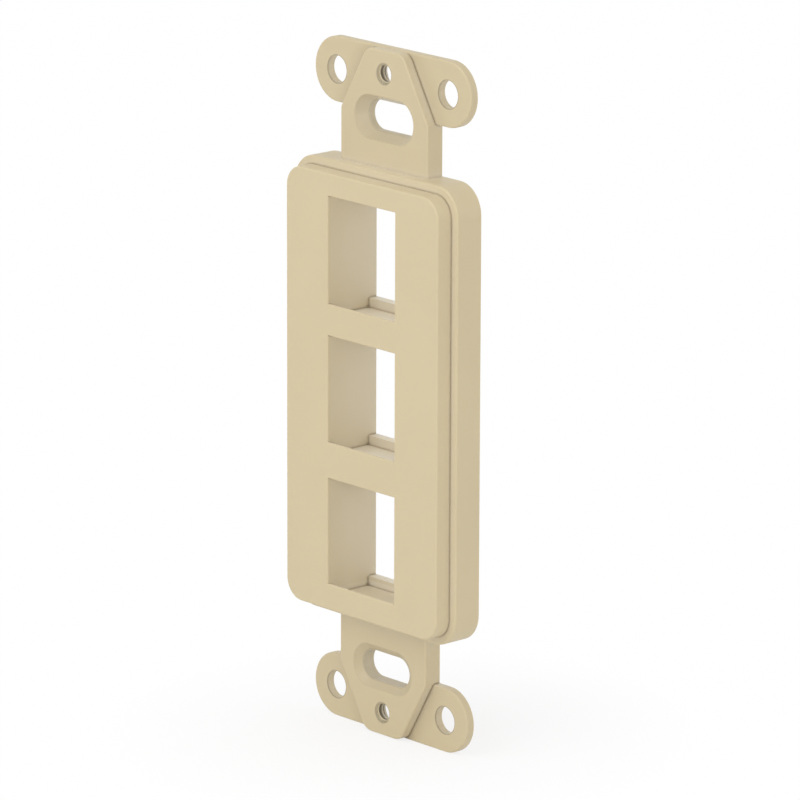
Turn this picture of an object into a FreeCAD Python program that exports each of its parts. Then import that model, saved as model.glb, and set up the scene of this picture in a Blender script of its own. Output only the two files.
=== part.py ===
import FreeCAD, Part
import math
import os
import Sketcher

os.makedirs("parts", exist_ok=True)
doc = FreeCAD.newDocument("faceplate")

# Sizes, in millimetres
# X points right, -Y out of the wall and Z up. The strap's flat back face lies in the plane Y = 0.
SIZES = {
    # front panel and the flange behind it
    "panel_width": 33.1,
    "panel_height": 66.3,
    "panel_face": 7.3,
    "panel_corner": 3.2,
    "panel_edge": 0.25,
    "flange_margin": 1.3,
    "flange_face": 4.65,
    "flange_corner": 4.5,
    "flange_edge": 0.3,
    # height of the wall box screws, which every other height at an end is counted from
    "box_screw_rise": 41.67,
    # strap with its raised neck and tips
    "neck_face": 2.9,
    "neck_edge": 0.25,
    "shoulder_width": 18.9,
    "shoulder_offset": 0.58,
    "shoulder_round": 1.0,
    "tip_width": 7.8,
    "tip_offset": 10.23,
    "tip_round": 2.2,
    # thin ears at the four corners
    "ear_face": 1.3,
    "ear_edge": 0.25,
    "ear_radius": 4.9,
    "ear_hole_x": 12.05,
    "ear_hole_offset": 5.43,
    "ear_hole_diameter": 4.2,
    # slots for the wall box screws, widening towards the front
    "slot_length": 10.3,
    "slot_width": 4.6,
    "slot_mouth_length": 12.8,
    "slot_mouth_width": 6.6,
    "upper_mouth_depth": 1.9,
    "lower_mouth_depth": 0.8,
    # threaded holes for the screws of the cover plate
    "plate_screw_offset": 6.75,
    "plate_screw_diameter": 3.15,
    "relief_diameter": 5.0,
    "relief_depth": 1.1,
    # three ports for snap-in jacks
    "port_width": 14.6,
    "port_height": 16.25,
    "port_edge": 0.2,
    "top_margin": 3.4,
    "upper_gap": 4.75,
    "lower_gap": 5.45,
    "lip_thickness": 1.3,
    "lip_land": 0.3,
    "lip_drop": 0.85,
    "floor_drop": 1.75,
    "roof_lift": 1.5,
    "catch_thickness": 1.55,
    "catch_clearance": 0.3,
    "latch_clearance": 0.6,
    # hollow back with the port housing and its ribs
    "skin": 2.0,
    "rim_wall": 1.3,
    "core_corner": 1.5,
    "housing_wall": 1.25,
    "housing_rear": 2.3,
    "rib_thickness": 1.2,
}

sheet = doc.addObject("Spreadsheet::Sheet", "Sizes")
for row, (alias, value) in enumerate(SIZES.items(), start=1):
    sheet.set("A%d" % row, alias)
    sheet.set("B%d" % row, str(value))
    sheet.setAlias("B%d" % row, alias)
doc.recompute()

body = doc.addObject("PartDesign::Body", "Faceplate")
body.Label = "faceplate"
origin_items = {item.Role: item for item in body.Origin.OriginFeatures}

TOLERANCE = 0.02

# Signs for the two ends and the two sides, in expressions and in numbers
ENDS = {"upper": ("", 1), "lower": ("-", -1)}
SIDES = {"right": ("", 1), "left": ("-", -1)}


def end_rise(end, kind):
    """A height at one end, as an expression and as a number."""
    sign, way = ENDS[end]
    expression = sign + "(Sizes.box_screw_rise + Sizes." + kind + "_offset)"
    return expression, way * (SIZES["box_screw_rise"] + SIZES[kind + "_offset"])


# Sketches
def sketch_on(plane, name):
    """A sketch in one of the body's origin planes."""
    sketch = body.newObject("Sketcher::SketchObject", name)
    sketch.AttachmentSupport = [(origin_items[plane], "")]
    sketch.MapMode = "FlatFace"
    return sketch


def front_sketch(name, level="0"):
    """A sketch seen from the front, at a distance in front of the strap's back face."""
    sketch = sketch_on("XZ_Plane", name)
    sketch.setExpression("AttachmentOffset.Base.z", level)
    return sketch


def bind(sketch, name, expression, constraint):
    """A dimension of the sketch that follows an expression of the sheet."""
    index = sketch.addConstraint(constraint)
    sketch.renameConstraint(index, name)
    sketch.setExpression("Constraints." + name, expression)


def across(sketch, name, expression, geometry, point):
    """The distance of a point to the right of the sketch's origin."""
    rough = sketch.getPoint(geometry, point).x
    constraint = Sketcher.Constraint("DistanceX", -1, 1, geometry, point, rough)
    bind(sketch, name, expression, constraint)


def above(sketch, name, expression, geometry, point):
    """The height of a point over the sketch's origin."""
    rough = sketch.getPoint(geometry, point).y
    constraint = Sketcher.Constraint("DistanceY", -1, 1, geometry, point, rough)
    bind(sketch, name, expression, constraint)


def polygon(sketch, corners):
    """A closed outline of straight lines through rough corner points."""
    first = sketch.GeometryCount
    count = len(corners)
    for index in range(count):
        start = FreeCAD.Vector(*corners[index], 0)
        end = FreeCAD.Vector(*corners[(index + 1) % count], 0)
        sketch.addGeometry(Part.LineSegment(start, end))
    for index in range(count):
        following = first + (index + 1) % count
        sketch.addConstraint(Sketcher.Constraint("Coincident", first + index, 2, following, 1))
    return first


def rectangle(sketch, name, half_width, bottom, top):
    """A rectangle centred from left to right, between two heights."""
    first = polygon(sketch, [(-1, -1), (1, -1), (1, 1), (-1, 1)])
    low, right, high, left = range(first, first + 4)
    for level in (low, high):
        sketch.addConstraint(Sketcher.Constraint("Horizontal", level))
    for upright in (right, left):
        sketch.addConstraint(Sketcher.Constraint("Vertical", upright))
    across(sketch, name + "_right", half_width, right, 1)
    across(sketch, name + "_left", "-(" + half_width + ")", left, 1)
    above(sketch, name + "_bottom", bottom, low, 1)
    above(sketch, name + "_top", top, high, 1)


def rounded_outline(sketch, corners):
    """A closed outline of straight sides between round corners, listed counterclockwise."""
    count = len(corners)
    arc_ends = []
    for index, corner in enumerate(corners):
        place = corner["place"]
        radius = corner["radius"]
        before = (corners[index - 1]["place"] - place).normalize()
        after = (corners[(index + 1) % count]["place"] - place).normalize()
        half_angle = before.getAngle(after) / 2
        run = radius / math.tan(half_angle)
        gap = radius / math.sin(half_angle) - radius
        start = place + before * run
        middle = place + (before + after).normalize() * gap
        end = place + after * run
        sketch.addGeometry(Part.Arc(start, middle, end))
        arc_ends.append((start, end))
    for index in range(count):
        following = (index + 1) % count
        sketch.addGeometry(Part.LineSegment(arc_ends[index][1], arc_ends[following][0]))
    for arc, corner in enumerate(corners):
        name = corner["name"]
        line = count + arc
        line_before = count + (arc - 1) % count
        point = sketch.addGeometry(Part.Point(corner["place"]), True)
        sketch.addConstraint(Sketcher.Constraint("Tangent", arc, 2, line, 1))
        sketch.addConstraint(Sketcher.Constraint("Tangent", line_before, 2, arc, 1))
        sketch.addConstraint(Sketcher.Constraint("PointOnObject", point, 1, line))
        sketch.addConstraint(Sketcher.Constraint("PointOnObject", point, 1, line_before))
        rough_size = Sketcher.Constraint("Radius", arc, corner["radius"])
        bind(sketch, name + "_round", corner["round"], rough_size)
        across(sketch, name + "_across", corner["across"], point, 1)
        above(sketch, name + "_above", corner["above"], point, 1)


def rounded_rectangle(sketch, name, half_width, half_height, radius, rough):
    """A rectangle with round corners about the origin, from rough sizes to start from."""
    wide, high, rounding = rough
    reach = wide - rounding
    rise = high - rounding
    arcs = []
    for index, (x, z) in enumerate(((reach, -rise), (reach, rise), (-reach, rise), (-reach, -rise))):
        whole = Part.Circle(FreeCAD.Vector(x, z, 0), FreeCAD.Vector(0, 0, 1), rounding)
        begin = (index - 1) * math.pi / 2
        arcs.append(sketch.addGeometry(Part.ArcOfCircle(whole, begin, begin + math.pi / 2)))
    lines = []
    for arc, following in zip(arcs, arcs[1:] + arcs[:1]):
        start = sketch.getPoint(arc, 2)
        end = sketch.getPoint(following, 1)
        lines.append(sketch.addGeometry(Part.LineSegment(start, end)))
    for arc, line, following in zip(arcs, lines, arcs[1:] + arcs[:1]):
        sketch.addConstraint(Sketcher.Constraint("Tangent", arc, 2, line, 1))
        sketch.addConstraint(Sketcher.Constraint("Tangent", line, 2, following, 1))
        if following != arcs[0]:
            sketch.addConstraint(Sketcher.Constraint("Equal", arc, following))
    right, top, left, bottom = lines
    for upright in (right, left):
        sketch.addConstraint(Sketcher.Constraint("Vertical", upright))
    for level in (top, bottom):
        sketch.addConstraint(Sketcher.Constraint("Horizontal", level))
    bind(sketch, name + "_corner", radius, Sketcher.Constraint("Radius", arcs[0], rounding))
    across(sketch, name + "_right", half_width, right, 1)
    above(sketch, name + "_top", half_height, top, 1)
    across(sketch, name + "_left", "-(" + half_width + ")", left, 1)
    above(sketch, name + "_bottom", "-(" + half_height + ")", bottom, 1)


def stadium(sketch, name, reach, radius, rise, rough):
    """A shape with round ends to the left and right, from rough sizes to start from."""
    rough_reach, rough_radius, rough_rise = rough
    first = sketch.GeometryCount
    right, left, top, bottom = range(first, first + 4)
    for side in (1, -1):
        centre = FreeCAD.Vector(side * rough_reach, rough_rise, 0)
        whole = Part.Circle(centre, FreeCAD.Vector(0, 0, 1), rough_radius)
        begin = -side * math.pi / 2
        sketch.addGeometry(Part.ArcOfCircle(whole, begin, begin + math.pi))
    for height in (rough_rise + rough_radius, rough_rise - rough_radius):
        line = Part.LineSegment(
            FreeCAD.Vector(-rough_reach, height, 0), FreeCAD.Vector(rough_reach, height, 0)
        )
        sketch.addGeometry(line)
    for one, one_end, other, other_end in (
        (right, 2, top, 2),
        (top, 1, left, 1),
        (left, 2, bottom, 1),
        (bottom, 2, right, 1),
    ):
        sketch.addConstraint(Sketcher.Constraint("Tangent", one, one_end, other, other_end))
    sketch.addConstraint(Sketcher.Constraint("Horizontal", top))
    sketch.addConstraint(Sketcher.Constraint("Equal", right, left))
    rough_size = Sketcher.Constraint("Radius", right, rough_radius)
    bind(sketch, name + "_radius", radius, rough_size)
    across(sketch, name + "_right", reach, right, 3)
    across(sketch, name + "_left", "-(" + reach + ")", left, 3)
    above(sketch, name + "_rise", rise, right, 3)


def circle(sketch, name, diameter, x, rise, rough):
    """A circle, from a rough centre and radius to start from."""
    rough_x, rough_rise, rough_radius = rough
    centre = FreeCAD.Vector(rough_x, rough_rise, 0)
    index = sketch.addGeometry(Part.Circle(centre, FreeCAD.Vector(0, 0, 1), rough_radius))
    rough_size = Sketcher.Constraint("Diameter", index, 2 * rough_radius)
    bind(sketch, name + "_diameter", diameter, rough_size)
    across(sketch, name + "_x", x, index, 3)
    above(sketch, name + "_rise", rise, index, 3)


# Features
def pad(name, sketch, length):
    """Material from the sketch forward."""
    feature = body.newObject("PartDesign::Pad", name)
    feature.Profile = (sketch, [""])
    feature.setExpression("Length", length)
    doc.recompute()


def pocket(name, sketch, depth, forward=False, centred=False):
    """A cut from the sketch, backward unless it is stated as forward or centred on the sketch."""
    feature = body.newObject("PartDesign::Pocket", name)
    feature.Profile = (sketch, [""])
    feature.Reversed = forward
    feature.Midplane = centred
    feature.setExpression("Length", depth)
    doc.recompute()


def round_edges(name, radius, chosen):
    """A fillet on those edges of the latest shape that a test picks."""
    base = body.Tip
    names = []
    for index, edge in enumerate(base.Shape.Edges, start=1):
        if chosen(edge):
            names.append("Edge%d" % index)
    if not names:
        raise ValueError("no edge found for " + name)
    feature = body.newObject("PartDesign::Fillet", name)
    feature.Base = (base, names)
    feature.setExpression("Radius", radius)
    doc.recompute()


def near(value, target):
    return abs(value - target) < TOLERANCE


def at_level(edge, level):
    """An edge that lies whole in a plane at a distance in front of the back face."""
    box = edge.BoundBox
    return near(box.YMin, -level) and near(box.YMax, -level)


# Thin ears at both ends, rounded before the strap covers their middles
ears = front_sketch("ear_outlines")
for end in ENDS:
    rise, rough_rise = end_rise(end, "ear_hole")
    stadium(
        ears,
        end,
        "Sizes.ear_hole_x",
        "Sizes.ear_radius",
        rise,
        (SIZES["ear_hole_x"], SIZES["ear_radius"], rough_rise),
    )
pad("ears", ears, "Sizes.ear_face")
ear_face = SIZES["ear_face"]
round_edges("ear_rim", "Sizes.ear_edge", lambda edge: at_level(edge, ear_face))

# Raised strap from tip to tip
outline = front_sketch("strap_outline")
corners = []
for end, side, kind in (
    ("lower", "right", "shoulder"),
    ("upper", "right", "shoulder"),
    ("upper", "right", "tip"),
    ("upper", "left", "tip"),
    ("upper", "left", "shoulder"),
    ("lower", "left", "shoulder"),
    ("lower", "left", "tip"),
    ("lower", "right", "tip"),
):
    side_sign, side_way = SIDES[side]
    reach = side_way * SIZES[kind + "_width"] / 2
    rise, rough_rise = end_rise(end, kind)
    corners.append(
        {
            "name": "_".join((end, side, kind)),
            "across": side_sign + "Sizes." + kind + "_width / 2",
            "above": rise,
            "round": "Sizes." + kind + "_round",
            "place": FreeCAD.Vector(reach, rough_rise, 0),
            "radius": SIZES[kind + "_round"],
        }
    )
rounded_outline(outline, corners)
pad("strap", outline, "Sizes.neck_face")

# Flange and front panel
HALF_PANEL = "Sizes.panel_width / 2"
PANEL_TOP = "Sizes.panel_height / 2"
half_panel = SIZES["panel_width"] / 2
panel_top = SIZES["panel_height"] / 2
half_flange = half_panel + SIZES["flange_margin"]
flange_top = panel_top + SIZES["flange_margin"]
flange_outline = front_sketch("flange_outline")
rounded_rectangle(
    flange_outline,
    "flange",
    HALF_PANEL + " + Sizes.flange_margin",
    PANEL_TOP + " + Sizes.flange_margin",
    "Sizes.flange_corner",
    (half_flange, flange_top, SIZES["flange_corner"]),
)
pad("flange", flange_outline, "Sizes.flange_face")
panel_outline = front_sketch("panel_outline")
rounded_rectangle(
    panel_outline,
    "panel",
    HALF_PANEL,
    PANEL_TOP,
    "Sizes.panel_corner",
    (half_panel, panel_top, SIZES["panel_corner"]),
)
pad("panel", panel_outline, "Sizes.panel_face")

# Rounded front edges, before anything is cut
panel_face = SIZES["panel_face"]
flange_face = SIZES["flange_face"]
neck_face = SIZES["neck_face"]
round_edges("panel_rim", "Sizes.panel_edge", lambda edge: at_level(edge, panel_face))


def on_flange_rim(edge):
    """An edge of the flange's front, not the corner where the panel rises from it."""
    box = edge.BoundBox
    reach = max(abs(box.XMin), abs(box.XMax)) > half_panel + TOLERANCE
    rise = max(abs(box.ZMin), abs(box.ZMax)) > panel_top + TOLERANCE
    return at_level(edge, flange_face) and (reach or rise)


def on_strap_rim(edge):
    """An edge of the raised strap's front, not the corner where the flange rises from it."""
    middle = edge.BoundBox.Center
    return at_level(edge, neck_face) and abs(middle.z) > flange_top + TOLERANCE


round_edges("flange_rim", "Sizes.flange_edge", on_flange_rim)
round_edges("strap_rim", "Sizes.neck_edge", on_strap_rim)

# Hollow back, cut forward from the back face
core = front_sketch("core_outline")
rounded_rectangle(
    core,
    "core",
    HALF_PANEL + " - Sizes.rim_wall",
    PANEL_TOP + " - Sizes.rim_wall",
    "Sizes.core_corner",
    (half_panel - SIZES["rim_wall"], panel_top - SIZES["rim_wall"], SIZES["core_corner"]),
)
pocket("core", core, "Sizes.panel_face - Sizes.skin", forward=True)

# Heights of the ports, counted down from the panel's top edge
TOP = {"upper": PANEL_TOP + " - Sizes.top_margin"}
BOTTOM = {"upper": TOP["upper"] + " - Sizes.port_height"}
TOP["middle"] = BOTTOM["upper"] + " - Sizes.upper_gap"
BOTTOM["middle"] = TOP["middle"] + " - Sizes.port_height"
TOP["lower"] = BOTTOM["middle"] + " - Sizes.lower_gap"
BOTTOM["lower"] = TOP["lower"] + " - Sizes.port_height"
PORTS = ("upper", "middle", "lower")
HALF_PORT = "Sizes.port_width / 2"
half_port = SIZES["port_width"] / 2

# Housing around the ports, and ribs from it to the rim
housing = front_sketch("housing_outline", "-Sizes.housing_rear")
rectangle(
    housing,
    "housing",
    HALF_PORT + " + Sizes.housing_wall",
    BOTTOM["lower"] + " - Sizes.floor_drop - Sizes.housing_wall",
    TOP["upper"] + " + Sizes.roof_lift + Sizes.housing_wall",
)
pad("housing", housing, "Sizes.housing_rear + Sizes.panel_face - Sizes.skin / 2")
ribs = front_sketch("rib_outlines")
for name, gap_top, gap in (
    ("upper", BOTTOM["upper"], "Sizes.upper_gap"),
    ("lower", BOTTOM["middle"], "Sizes.lower_gap"),
):
    rectangle(
        ribs,
        name,
        HALF_PANEL + " - Sizes.rim_wall / 2",
        gap_top + " - " + gap + " / 2 - Sizes.rib_thickness / 2",
        gap_top + " - " + gap + " / 2 + Sizes.rib_thickness / 2",
    )
pad("ribs", ribs, "Sizes.panel_face - Sizes.skin / 2")

# Ports: the front opening, the chamber behind its lip, and the rear mouth over the catch
openings = front_sketch("port_openings", "Sizes.panel_face")
chambers = front_sketch("port_chambers", "Sizes.panel_face - Sizes.lip_thickness")
mouths = front_sketch("port_mouths", "-Sizes.housing_rear")
for name in PORTS:
    rectangle(openings, name, HALF_PORT, BOTTOM[name], TOP[name])
    rectangle(
        chambers,
        name,
        HALF_PORT,
        BOTTOM[name] + " - Sizes.floor_drop",
        TOP[name] + " + Sizes.roof_lift",
    )
    rectangle(
        mouths,
        name,
        HALF_PORT,
        BOTTOM[name] + " - Sizes.catch_clearance",
        TOP[name] + " + Sizes.latch_clearance",
    )
pocket("openings", openings, "Sizes.panel_face + Sizes.housing_rear")
pocket(
    "chambers",
    chambers,
    "Sizes.panel_face - Sizes.lip_thickness + Sizes.housing_rear - Sizes.catch_thickness",
)
pocket("mouths", mouths, "Sizes.catch_thickness", forward=True)

# The lower lips fall away to the back, so that a jack can be swung in over them
slopes = sketch_on("YZ_Plane", "lip_slopes")
for name in PORTS:
    slope = polygon(slopes, [(-3, 0), (-1, -1), (-1, 0)])
    back = slope + 1
    top = slope + 2
    slopes.addConstraint(Sketcher.Constraint("Vertical", back))
    slopes.addConstraint(Sketcher.Constraint("Horizontal", top))
    across(slopes, name + "_front", "-(Sizes.panel_face - Sizes.lip_land)", slope, 1)
    across(slopes, name + "_back", "-(Sizes.panel_face - Sizes.lip_thickness)", back, 1)
    above(slopes, name + "_top", BOTTOM[name], slope, 1)
    above(slopes, name + "_bottom", BOTTOM[name] + " - Sizes.lip_drop", back, 1)
pocket("lips", slopes, "Sizes.port_width", centred=True)


def on_port_rim(edge):
    """An edge of a port in the panel's face."""
    box = edge.BoundBox
    return at_level(edge, panel_face) and max(abs(box.XMin), abs(box.XMax)) < half_port + TOLERANCE


round_edges("port_rims", "Sizes.port_edge", on_port_rim)

# Slots for the wall box screws
slots = front_sketch("slot_outlines", "Sizes.neck_face")
REACH = "(Sizes.slot_length - Sizes.slot_width) / 2"
MOUTH_REACH = "(Sizes.slot_mouth_length - Sizes.slot_mouth_width) / 2"
slot_radius = SIZES["slot_width"] / 2
slot_reach = SIZES["slot_length"] / 2 - slot_radius
mouth_radius = SIZES["slot_mouth_width"] / 2
mouth_reach = SIZES["slot_mouth_length"] / 2 - mouth_radius
for end, (end_sign, end_way) in ENDS.items():
    rise = end_sign + "Sizes.box_screw_rise"
    rough_rise = end_way * SIZES["box_screw_rise"]
    stadium(
        slots, end, REACH, "Sizes.slot_width / 2", rise, (slot_reach, slot_radius, rough_rise)
    )
pocket("slots", slots, "Sizes.neck_face")
for end, (end_sign, end_way) in ENDS.items():
    rise = end_sign + "Sizes.box_screw_rise"
    rough_rise = end_way * SIZES["box_screw_rise"]
    depth = "Sizes." + end + "_mouth_depth"
    mouth = front_sketch(end + "_mouth", "Sizes.neck_face")
    stadium(
        mouth,
        end,
        MOUTH_REACH,
        "Sizes.slot_mouth_width / 2",
        rise,
        (mouth_reach, mouth_radius, rough_rise),
    )
    throat = front_sketch(end + "_throat", "Sizes.neck_face - " + depth)
    stadium(
        throat, end, REACH, "Sizes.slot_width / 2", rise, (slot_reach, slot_radius, rough_rise)
    )
    taper = body.newObject("PartDesign::SubtractiveLoft", end + "_taper")
    taper.Profile = (mouth, [""])
    taper.Sections = [(throat, [""])]
    taper.Ruled = True
    doc.recompute()

# Round holes
ear_holes = front_sketch("ear_hole_circles", "Sizes.ear_face")
plate_screws = front_sketch("plate_screw_circles", "Sizes.neck_face")
reliefs = front_sketch("relief_circles")
for end in ENDS:
    rise, rough_rise = end_rise(end, "ear_hole")
    for side, (side_sign, side_way) in SIDES.items():
        circle(
            ear_holes,
            end + "_" + side,
            "Sizes.ear_hole_diameter",
            side_sign + "Sizes.ear_hole_x",
            rise,
            (side_way * SIZES["ear_hole_x"], rough_rise, SIZES["ear_hole_diameter"] / 2),
        )
    rise, rough_rise = end_rise(end, "plate_screw")
    for sketch, diameter in ((plate_screws, "plate_screw_diameter"), (reliefs, "relief_diameter")):
        circle(
            sketch,
            end,
            "Sizes." + diameter,
            "0",
            rise,
            (0, rough_rise, SIZES[diameter] / 2),
        )
pocket("ear_holes", ear_holes, "Sizes.ear_face")
pocket("plate_screw_holes", plate_screws, "Sizes.neck_face")
pocket("reliefs", reliefs, "Sizes.relief_depth", forward=True)

# Checks and files
doc.recompute()
for item in doc.Objects:
    if "Invalid" in item.State or "Error" in item.State:
        raise ValueError("not built: " + item.Name)
if body.Shape.isNull() or not body.Shape.isValid() or len(body.Shape.Solids) != 1:
    raise ValueError("the faceplate isn't one valid solid")
body.Shape.exportStep("parts/faceplate.step")
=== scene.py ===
import math

import bpy
from mathutils import Matrix, Vector


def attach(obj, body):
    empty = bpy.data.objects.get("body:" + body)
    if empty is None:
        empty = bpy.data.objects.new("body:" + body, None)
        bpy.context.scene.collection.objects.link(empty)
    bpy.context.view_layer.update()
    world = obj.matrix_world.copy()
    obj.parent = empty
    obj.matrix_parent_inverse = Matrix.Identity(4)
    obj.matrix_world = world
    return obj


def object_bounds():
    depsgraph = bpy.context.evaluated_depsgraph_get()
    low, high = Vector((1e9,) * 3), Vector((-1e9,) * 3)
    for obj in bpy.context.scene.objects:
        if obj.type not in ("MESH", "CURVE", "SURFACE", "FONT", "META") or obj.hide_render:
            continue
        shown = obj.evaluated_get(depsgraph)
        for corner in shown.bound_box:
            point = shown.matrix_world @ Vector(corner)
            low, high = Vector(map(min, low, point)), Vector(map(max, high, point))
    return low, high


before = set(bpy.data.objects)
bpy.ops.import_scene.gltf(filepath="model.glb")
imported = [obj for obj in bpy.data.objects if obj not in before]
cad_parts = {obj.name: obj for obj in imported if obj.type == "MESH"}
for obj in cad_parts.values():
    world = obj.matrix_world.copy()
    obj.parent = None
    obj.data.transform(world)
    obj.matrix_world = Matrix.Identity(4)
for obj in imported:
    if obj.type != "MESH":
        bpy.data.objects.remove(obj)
cad_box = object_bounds()

MM = 0.001

# Camera, at the photo's viewing angle with no shift
CAMERA_PLACE = Vector((679.3, -612.7, 237.6)) * MM
CAMERA_TURN = math.radians(47.93)
CAMERA_DIP = math.radians(14.61)
CAMERA_ROLL = math.radians(0.19)
CAMERA_LENS = 289.1
CAMERA_SENSOR = 36.0
CAMERA_NEAR = 0.05
CAMERA_FAR = 50.0

# Front planes of the moulding, and the height where its necks leave the flange
PANEL_FACE = 7.3 * MM
NECK_FACE = 2.9 * MM
EAR_FACE = 1.3 * MM
NECK_ROOT = 34.45 * MM

# How far the ports reach to both sides, up and down, and behind the wall
PORT_REACH = 7.3 * MM
PORT_RISE = 29.75 * MM
PORT_BACK = 2.3 * MM

# Holes at each end: heights, how far they reach to both sides, and radii
SLOT_RISE = 41.67 * MM
SLOT_REACH = 2.85 * MM
SLOT_RADIUS = 2.3 * MM
SLOT_MOUTH_REACH = 3.1 * MM
SLOT_MOUTH_RADIUS = 3.3 * MM
EAR_HOLE_RISE = 47.1 * MM
EAR_HOLE_ACROSS = 12.05 * MM
EAR_HOLE_RADIUS = 2.1 * MM
SCREW_RISE = 48.42 * MM

# Threads of the two small screw holes, and the steps that each turn is made of
BORE_RADIUS = 1.575 * MM
BORE_LENGTH = 1.8 * MM
THREAD_PITCH = 0.794 * MM
THREAD_DEPTH = 0.36 * MM
THREAD_SINK = 0.03 * MM
THREAD_STEPS = 48

# Half a thread's width at root and crest in pitches, and the share of its height at its ends
THREAD_HALF_ROOT = 0.42
THREAD_HALF_CREST = 0.06
THREAD_END = 0.04

# Colours of the plastic, of the painted light in recesses and of the painted shade in inner
# corners, and how bright its clouds are beside the rest
IVORY = (0.655, 0.552, 0.354, 1.0)
PAINTED_LIGHT_IVORY = (0.900, 0.845, 0.725, 1.0)
PAINTED_CORNER_SHADE_COLOUR = (0.300, 0.230, 0.135, 1.0)
CLOUD_BRIGHTNESS = 0.975

# Light in the plastic and on it, and its grain
PLASTIC_IOR = 1.49
SCATTER_WEIGHT = 0.12
SCATTER_COLOURS = (1.0, 0.72, 0.42)
SCATTER_DEPTH = 0.9 * MM
ROUGHNESS = (0.40, 0.52)
GRAIN_STRENGTH = 0.12
GRAIN_DEPTH = 0.02 * MM

# Scale and detail of the clouds in colour and gloss and of the grain
CLOUDS = (70.0, 3.0)
GLOSS_CLOUDS = (220.0, 4.0)
GRAIN = (5200.0, 2.0)
CLOUD_BAND = (0.3, 0.7)

# How far corners, edges, steps and recesses reach into the faces beside them
CORNER_REACH = 0.65 * MM
EDGE_REACH = 0.3 * MM
STEP_REACH = 3.5 * MM
RECESS_REACH = 14.0 * MM

# Openness from which, and up to which, each of them fades
CORNER_BAND = (0.5, 0.95)
EDGE_BAND = (0.5, 1.0)
STEP_BAND = (0.85, 0.99)
RECESS_BAND = (0.25, 0.75)
OPENNESS_SAMPLES = 6

# How far a face is turned to the back, upwards or to the front where its shade changes
TURNED_BACK = (0.6, 0.9)
TURNED_UP = (0.5, 0.9)
TURNED_FRONT = (-0.95, -0.8)

# Places from front to back where a shade changes
BEHIND_PANEL = (0.1 * MM - PANEL_FACE, 0.3 * MM - PANEL_FACE)
BEFORE_EARS = (-0.4 * MM - EAR_FACE, -0.2 * MM - EAR_FACE)
EAR_HOLE_DEPTHS = (0.1 * MM - EAR_FACE, 0.25 * MM - EAR_FACE)
SCREW_HOLE_DEPTHS = (0.1 * MM - NECK_FACE, 0.7 * MM - NECK_FACE)

# Distances past a port's walls, past the necks' roots and from their corners where a shade changes
PAST_PORT = (0.2 * MM, 0.4 * MM)
PAST_ROOT = (-0.3 * MM, 0.3 * MM)
ROOT_CORNER = (0.5 * MM, 0.8 * MM)

# Thickness of what counts as a hole's wall, and of its rim
HOLE_WALL = 0.3 * MM
MOUTH_WALL = 1.3 * MM
HOLE_RIM = 0.12 * MM

# Share of painted light, a pale ivory, in the ports: from front to back, in their corners and on
# their floors
PORT_PAINTED_LIGHT = (0.16, 0.46)
PORT_CORNER_PAINTED_LIGHT = 0.72
PORT_FLOOR_PAINTED_LIGHT = 0.80

# Painted shade on the necks, on the ears beside the strap and on the holes' walls, and a painted
# highlight on the outer edges
NECK_SHADE = 0.95
STEP_SHADE = 0.92
SLOT_SHADE = 0.89
MOUTH_SHADE = 0.91
SCREW_HOLE_SHADES = (0.75, 0.40)
EAR_HOLE_SHADES = (0.62, 0.96)
PAINTED_EDGE_HIGHLIGHT = 1.02

# Painted shade in inner corners, in a darker tint: steepness, then strength on the body and necks,
# in recesses and at roots
CORNER_STEEPNESS = 3.0
CORNER_STRENGTHS = (1.1, 1.35)
CORNER_IN_RECESS = 0.6
CORNER_AT_ROOT = 0.18

# Ground that the lower ears stand on, its own light near them and far off, and their shadow's reach
FLOOR_SIZE = 6.0
FLOOR_COLOUR = (0.95, 0.95, 0.95, 1.0)
FLOOR_GLOW = (0.78, 0.99)
SHADOW_REACH = 0.045

# The white tent's light on the object and where it is seen, and each lamp's place, size and power
WHITE = (1.0, 1.0, 1.0, 1.0)
WHITE_LIGHT = 1.0
TENT_LIGHT = 0.54
LAMPS = {
    "front_lamp": (Vector((-0.10, -1.00, 0.68)), 1.0, 5.6),
    "right_lamp": (Vector((1.15, -0.60, 0.25)), 0.5, 2.2),
    "back_lamp": (Vector((1.15, 0.55, 0.35)), 1.0, 2.0),
    "top_lamp": (Vector((0.0, -0.12, 1.20)), 1.0, 2.2),
}


def place_camera():
    """The camera looks from the right and a little above, turned, dipped and rolled."""
    data = bpy.data.cameras.new("camera")
    data.lens = CAMERA_LENS
    data.sensor_width = CAMERA_SENSOR
    data.clip_start = CAMERA_NEAR
    data.clip_end = CAMERA_FAR
    camera = bpy.data.objects.new("camera", data)
    bpy.context.scene.collection.objects.link(camera)
    upright = Matrix.Rotation(math.radians(90), 4, "X")
    turn = Matrix.Rotation(CAMERA_TURN, 4, "Z")
    dip = Matrix.Rotation(-CAMERA_DIP, 4, "X")
    roll = Matrix.Rotation(CAMERA_ROLL, 4, "Z")
    camera.matrix_world = Matrix.Translation(CAMERA_PLACE) @ turn @ upright @ dip @ roll
    bpy.context.scene.camera = camera


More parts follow.
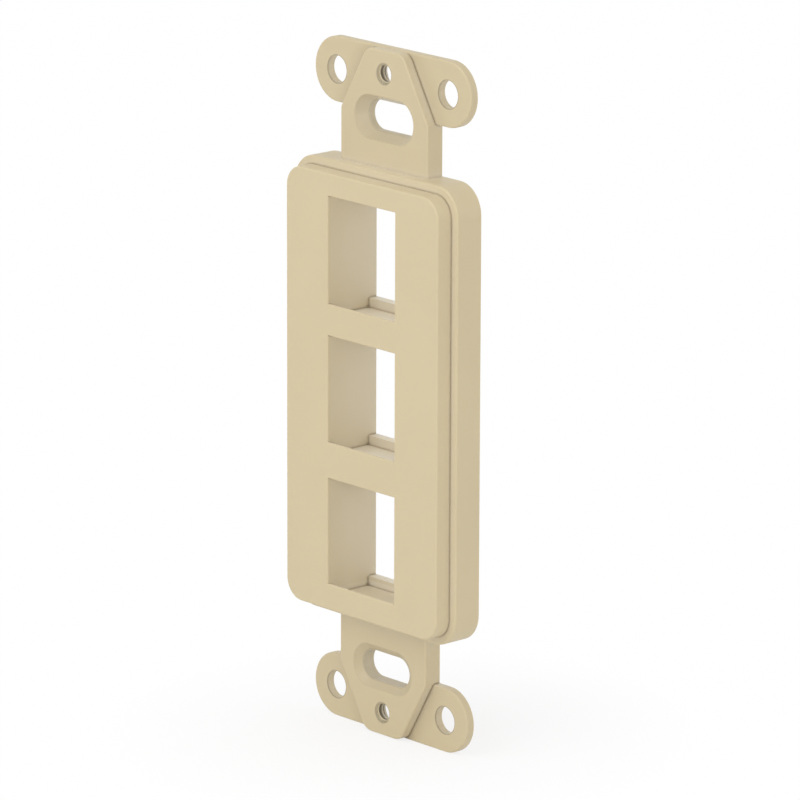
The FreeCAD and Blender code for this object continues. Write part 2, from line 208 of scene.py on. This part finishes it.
class Nodes:
    """Short calls for the nodes and links of a material or world."""

    def __init__(self, owner):
        owner.use_nodes = True
        self.tree = owner.node_tree
        self.tree.nodes.clear()

    def add(self, kind, **values):
        node = self.tree.nodes.new(kind)
        for name, value in values.items():
            setattr(node, name, value)
        return node

    def link(self, start, end):
        self.tree.links.new(start, end)

    def noise(self, place, scale, detail):
        """A noise texture's value, between 0 and 1."""
        texture = self.add("ShaderNodeTexNoise")
        texture.inputs["Scale"].default_value = scale
        texture.inputs["Detail"].default_value = detail
        self.link(place, texture.inputs["Vector"])
        return texture.outputs["Fac"]

    def spread(self, value, low, high, start=0.0, end=1.0):
        """A value between start and end brought to the range from low to high."""
        node = self.add("ShaderNodeMapRange")
        node.inputs["From Min"].default_value = start
        node.inputs["From Max"].default_value = end
        node.inputs["To Min"].default_value = low
        node.inputs["To Max"].default_value = high
        self.link(value, node.inputs["Value"])
        return node.outputs["Result"]

    def math(self, operation, *terms):
        """The result of a math node on values and numbers."""
        node = self.add("ShaderNodeMath", operation=operation)
        for socket, term in zip(node.inputs, terms):
            if isinstance(term, float):
                socket.default_value = term
            else:
                self.link(term, socket)
        return node.outputs["Value"]

    def parts(self, vector):
        """A vector's parts along X, Y and Z."""
        split = self.add("ShaderNodeSeparateXYZ")
        self.link(vector, split.inputs["Vector"])
        return split.outputs

    def tinted(self, colour, tint, share):
        """A colour with a share of a tint."""
        mix = self.add("ShaderNodeMix", data_type="RGBA")
        mix.inputs["B"].default_value = tint
        self.link(share, mix.inputs["Factor"])
        self.link(colour, mix.inputs["A"])
        return mix.outputs["Result"]

    def openness(self, reach, inside=False):
        """1 on open faces and less beside inner corners, or beside outer edges if taken inside."""
        node = self.add("ShaderNodeAmbientOcclusion", samples=OPENNESS_SAMPLES)
        node.inside = inside
        node.only_local = True
        node.inputs["Distance"].default_value = reach
        return node.outputs["AO"]

    def from_axis(self, axes, across, rise, reach):
        """Distance to the axis of holes alike at both sides and both ends, or to a slot's axes."""
        aside = self.math("SUBTRACT", self.math("ABSOLUTE", axes["X"]), across)
        past = self.math("SUBTRACT", self.math("ABSOLUTE", aside), reach)
        beyond = self.math("MAXIMUM", past, 0.0)
        above = self.math("SUBTRACT", self.math("ABSOLUTE", axes["Z"]), rise)
        squares = self.math("ADD", self.math("POWER", beyond, 2.0), self.math("POWER", above, 2.0))
        return self.math("SQRT", squares)

    def wall_shade(self, distance, radius, shade, wall):
        """Painted shade on a hole's wall, which is as thick as stated, and 1 off it."""
        inner = self.spread(distance, 1.0, 0.0, radius - wall, radius - wall / 4)
        outer = self.spread(distance, 0.0, 1.0, radius + HOLE_RIM / 2, radius + HOLE_RIM)
        return self.math("MAXIMUM", self.math("MAXIMUM", inner, outer), shade)

    def seen(self):
        """1 for rays from the camera, from glossy surfaces and through clear ones, otherwise 0."""
        path = self.add("ShaderNodeLightPath").outputs
        solid = self.math("MAXIMUM", path["Is Camera Ray"], path["Is Glossy Ray"])
        return self.math("MAXIMUM", solid, path["Is Transmission Ray"])


def cloudy_ivory(nodes, place):
    """Ivory with faint clouds."""
    tint = nodes.add("ShaderNodeValToRGB")
    cloud, clear = tint.color_ramp.elements
    cloud.position, clear.position = CLOUD_BAND
    cloud.color = [channel * CLOUD_BRIGHTNESS for channel in IVORY[:3]] + [1.0]
    clear.color = IVORY
    nodes.link(nodes.noise(place, *CLOUDS), tint.inputs["Fac"])
    return tint.outputs["Color"]


def in_ports(nodes, axes, turned):
    """1 on the faces in the ports that aren't turned to the back, and 0 elsewhere."""
    mask = nodes.spread(axes["Y"], 0.0, 1.0, *BEHIND_PANEL)
    mask = nodes.math("MULTIPLY", mask, nodes.spread(turned["Y"], 1.0, 0.0, *TURNED_BACK))
    start, end = PAST_PORT
    for axis, reach in (("X", PORT_REACH), ("Z", PORT_RISE)):
        aside = nodes.math("ABSOLUTE", axes[axis])
        within = nodes.spread(aside, 1.0, 0.0, reach + start, reach + end)
        mask = nodes.math("MULTIPLY", mask, within)
    return mask


def painted_light_share(nodes, axes, turned, recess):
    """The share of painted light, a pale ivory: by depth of recess, in ports also to the back and
    on the floors.
    """
    deep = nodes.spread(axes["Y"], *PORT_PAINTED_LIGHT, -PANEL_FACE, PORT_BACK)
    deep = nodes.math("MAXIMUM", deep, nodes.spread(recess, 0.0, PORT_CORNER_PAINTED_LIGHT))
    ground = nodes.spread(turned["Z"], 0.0, PORT_FLOOR_PAINTED_LIGHT, *TURNED_UP)
    port = nodes.add("ShaderNodeMix", data_type="FLOAT")
    nodes.link(in_ports(nodes, axes, turned), port.inputs["Factor"])
    nodes.link(recess, port.inputs["A"])
    nodes.link(nodes.math("MAXIMUM", deep, ground), port.inputs["B"])
    return port.outputs["Result"]


def ear_shade(nodes, axes, turned):
    """Painted shade on the ears' front faces beside the strap, and 1 elsewhere."""
    step = nodes.spread(nodes.openness(STEP_REACH), STEP_SHADE, 1.0, *STEP_BAND)
    before = nodes.spread(axes["Y"], 1.0, 0.0, *BEFORE_EARS)
    turned_off = nodes.spread(turned["Y"], 0.0, 1.0, *TURNED_FRONT)
    return nodes.math("MAXIMUM", step, nodes.math("MAXIMUM", turned_off, before))


def brightness(nodes, axes, turned, past_root):
    """A painted highlight on outer edges, and painted shade on the necks, the ears and the holes'
    walls.
    """
    slot = nodes.from_axis(axes, 0.0, SLOT_RISE, SLOT_REACH)
    mouth = nodes.from_axis(axes, 0.0, SLOT_RISE, SLOT_MOUTH_REACH)
    screw = nodes.from_axis(axes, 0.0, SCREW_RISE, 0.0)
    ear = nodes.from_axis(axes, EAR_HOLE_ACROSS, EAR_HOLE_RISE, 0.0)
    screw_wall = nodes.spread(axes["Y"], *SCREW_HOLE_SHADES, *SCREW_HOLE_DEPTHS)
    ear_wall = nodes.spread(axes["Y"], *EAR_HOLE_SHADES, *EAR_HOLE_DEPTHS)
    shades = (
        # Painted shade: the necks a little darker than the panel and flange
        nodes.spread(past_root, 1.0, NECK_SHADE, *PAST_ROOT),
        ear_shade(nodes, axes, turned),
        nodes.wall_shade(slot, SLOT_RADIUS, SLOT_SHADE, HOLE_WALL),
        nodes.wall_shade(mouth, SLOT_MOUTH_RADIUS, MOUTH_SHADE, MOUTH_WALL),
        nodes.wall_shade(screw, BORE_RADIUS, screw_wall, HOLE_WALL),
        nodes.wall_shade(ear, EAR_HOLE_RADIUS, ear_wall, HOLE_WALL),
    )
    # Painted highlight: outer edges a little paler
    total = nodes.spread(nodes.openness(EDGE_REACH, inside=True), PAINTED_EDGE_HIGHLIGHT, 1.0, *EDGE_BAND)
    for shade in shades:
        total = nodes.math("MULTIPLY", total, shade)
    return total


def painted_corner_shade(nodes, recess, past_root):
    """The share of painted shade in inner corners, which is least where the necks leave the flange.
    """
    corner_shade = nodes.spread(nodes.openness(CORNER_REACH), 1.0, 0.0, *CORNER_BAND)
    corner_shade = nodes.math("POWER", corner_shade, CORNER_STEEPNESS)
    for strength in (
        nodes.spread(past_root, *CORNER_STRENGTHS, *PAST_ROOT),
        nodes.spread(recess, 1.0, CORNER_IN_RECESS),
    ):
        corner_shade = nodes.math("MULTIPLY", corner_shade, strength)
    from_root = nodes.math("ABSOLUTE", past_root)
    return nodes.math("MINIMUM", corner_shade, nodes.spread(from_root, CORNER_AT_ROOT, 1.0, *ROOT_CORNER))


def ivory_plastic():
    """Satin moulded plastic, cloudy in colour and gloss, with fine grain, painted light in recesses
    and ports, painted shade in corners, on necks, ears and hole walls, and painted highlights on
    edges.
    """
    material = bpy.data.materials.new("ivory_plastic")
    nodes = Nodes(material)
    output = nodes.add("ShaderNodeOutputMaterial")
    shader = nodes.add("ShaderNodeBsdfPrincipled")
    shader.inputs["IOR"].default_value = PLASTIC_IOR
    shader.inputs["Subsurface Weight"].default_value = SCATTER_WEIGHT
    shader.inputs["Subsurface Radius"].default_value = SCATTER_COLOURS
    shader.inputs["Subsurface Scale"].default_value = SCATTER_DEPTH

    place = nodes.add("ShaderNodeTexCoord").outputs["Object"]
    axes = nodes.parts(place)
    turned = nodes.parts(nodes.add("ShaderNodeNewGeometry").outputs["Normal"])
    recess = nodes.spread(nodes.openness(RECESS_REACH), 1.0, 0.0, *RECESS_BAND)
    past_root = nodes.math("SUBTRACT", nodes.math("ABSOLUTE", axes["Z"]), NECK_ROOT)

    # Painted light: pale ivory mixed in where recesses and ports lie in shade
    pale = painted_light_share(nodes, axes, turned, recess)
    shaded = nodes.add("ShaderNodeVectorMath", operation="SCALE")
    nodes.link(nodes.tinted(cloudy_ivory(nodes, place), PAINTED_LIGHT_IVORY, pale), shaded.inputs["Vector"])
    nodes.link(brightness(nodes, axes, turned, past_root), shaded.inputs["Scale"])
    # Painted shade: a darker tint mixed into inner corners
    corner_shade = painted_corner_shade(nodes, recess, past_root)
    colour = nodes.tinted(shaded.outputs["Vector"], PAINTED_CORNER_SHADE_COLOUR, corner_shade)
    nodes.link(colour, shader.inputs["Base Color"])

    gloss = nodes.spread(nodes.noise(place, *GLOSS_CLOUDS), *ROUGHNESS)
    nodes.link(gloss, shader.inputs["Roughness"])

    bump = nodes.add("ShaderNodeBump")
    bump.inputs["Strength"].default_value = GRAIN_STRENGTH
    bump.inputs["Distance"].default_value = GRAIN_DEPTH
    nodes.link(nodes.noise(place, *GRAIN), bump.inputs["Height"])
    nodes.link(bump.outputs["Normal"], shader.inputs["Normal"])
    nodes.link(shader.outputs["BSDF"], output.inputs["Surface"])
    return material


def white_floor():
    """A white ground that keeps a faint shadow near the object."""
    material = bpy.data.materials.new("white_floor")
    nodes = Nodes(material)
    output = nodes.add("ShaderNodeOutputMaterial")
    diffuse = nodes.add("ShaderNodeBsdfDiffuse")
    diffuse.inputs["Color"].default_value = FLOOR_COLOUR
    glow = nodes.add("ShaderNodeEmission")
    glow.inputs["Color"].default_value = WHITE
    mix = nodes.add("ShaderNodeMixShader")
    away = nodes.add("ShaderNodeVectorMath", operation="LENGTH")
    nodes.link(nodes.add("ShaderNodeTexCoord").outputs["Object"], away.inputs["Vector"])
    share = nodes.spread(away.outputs["Value"], *FLOOR_GLOW, SHADOW_REACH / 4, SHADOW_REACH)
    nodes.link(nodes.math("MULTIPLY", nodes.seen(), share), mix.inputs["Fac"])
    nodes.link(diffuse.outputs["BSDF"], mix.inputs[1])
    nodes.link(glow.outputs["Emission"], mix.inputs[2])
    nodes.link(mix.outputs["Shader"], output.inputs["Surface"])
    return material


def mesh_object(name, points, faces, material):
    mesh = bpy.data.meshes.new(name)
    mesh.from_pydata(points, [], faces)
    mesh.materials.append(material)
    mesh.validate()
    made = bpy.data.objects.new(name, mesh)
    bpy.context.scene.collection.objects.link(made)
    return made


def thread(name, rise, material):
    """A helical ridge on the wall of a screw hole, running out into the wall at both ends."""
    turns = BORE_LENGTH / THREAD_PITCH
    steps = round(turns * THREAD_STEPS)
    outer = BORE_RADIUS + THREAD_SINK
    half_root = THREAD_PITCH * THREAD_HALF_ROOT
    half_crest = THREAD_PITCH * THREAD_HALF_CREST
    points = []
    for step in range(steps + 1):
        depth = BORE_LENGTH * step / steps
        angle = math.tau * depth / THREAD_PITCH
        room = min(depth, BORE_LENGTH - depth)
        height = max(THREAD_END, min(1.0, room / half_root))
        inner = outer - (THREAD_DEPTH + THREAD_SINK) * height
        for radius, offset in (
            (outer, -half_root * height),
            (inner, -half_crest * height),
            (inner, half_crest * height),
            (outer, half_root * height),
        ):
            x = radius * math.cos(angle)
            y = depth + offset - NECK_FACE
            z = rise + radius * math.sin(angle)
            points.append((x, y, z))
    faces = []
    for step in range(steps):
        here = step * 4
        for corner in range(4):
            following = (corner + 1) % 4
            faces.append(
                (here + corner, here + following, here + 4 + following, here + 4 + corner)
            )
    last = steps * 4
    faces.append((3, 2, 1, 0))
    faces.append((last, last + 1, last + 2, last + 3))
    ridge = mesh_object(name, points, faces, material)
    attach(ridge, "root")


def floor(level):
    half = FLOOR_SIZE / 2
    corners = [(-half, -half, 0.0), (half, -half, 0.0), (half, half, 0.0), (-half, half, 0.0)]
    ground = mesh_object("floor", corners, [(0, 1, 2, 3)], white_floor())
    ground.location.z = level


def area_light(name, place, size, power):
    """A square lamp that faces the object."""
    data = bpy.data.lights.new(name, "AREA")
    data.shape = "SQUARE"
    data.size = size
    data.energy = power
    lamp = bpy.data.objects.new(name, data)
    lamp.location = place
    lamp.rotation_mode = "QUATERNION"
    lamp.rotation_quaternion = (-place).to_track_quat("-Z", "Y")
    lamp.visible_camera = False
    bpy.context.scene.collection.objects.link(lamp)


def background(nodes, strength):
    """White light of the world."""
    node = nodes.add("ShaderNodeBackground")
    node.inputs["Color"].default_value = WHITE
    node.inputs["Strength"].default_value = strength
    return node.outputs["Background"]


def studio_light():
    """A white tent all round, with soft lamps in front, to the right, behind it and above."""
    world = bpy.data.worlds.new("world")
    bpy.context.scene.world = world
    nodes = Nodes(world)
    output = nodes.add("ShaderNodeOutputWorld")
    mix = nodes.add("ShaderNodeMixShader")
    nodes.link(nodes.seen(), mix.inputs["Fac"])
    nodes.link(background(nodes, TENT_LIGHT), mix.inputs[1])
    nodes.link(background(nodes, WHITE_LIGHT), mix.inputs[2])
    nodes.link(mix.outputs["Shader"], output.inputs["Surface"])
    for name, (place, size, power) in LAMPS.items():
        area_light(name, place, size, power)


place_camera()
plastic = ivory_plastic()
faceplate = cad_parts["faceplate"]
faceplate.material_slots[0].material = plastic
for name, rise in (("upper_thread", SCREW_RISE), ("lower_thread", -SCREW_RISE)):
    thread(name, rise, plastic)
floor(cad_box[0].z)
studio_light()

view = bpy.context.scene.view_settings
view.view_transform = "Standard"
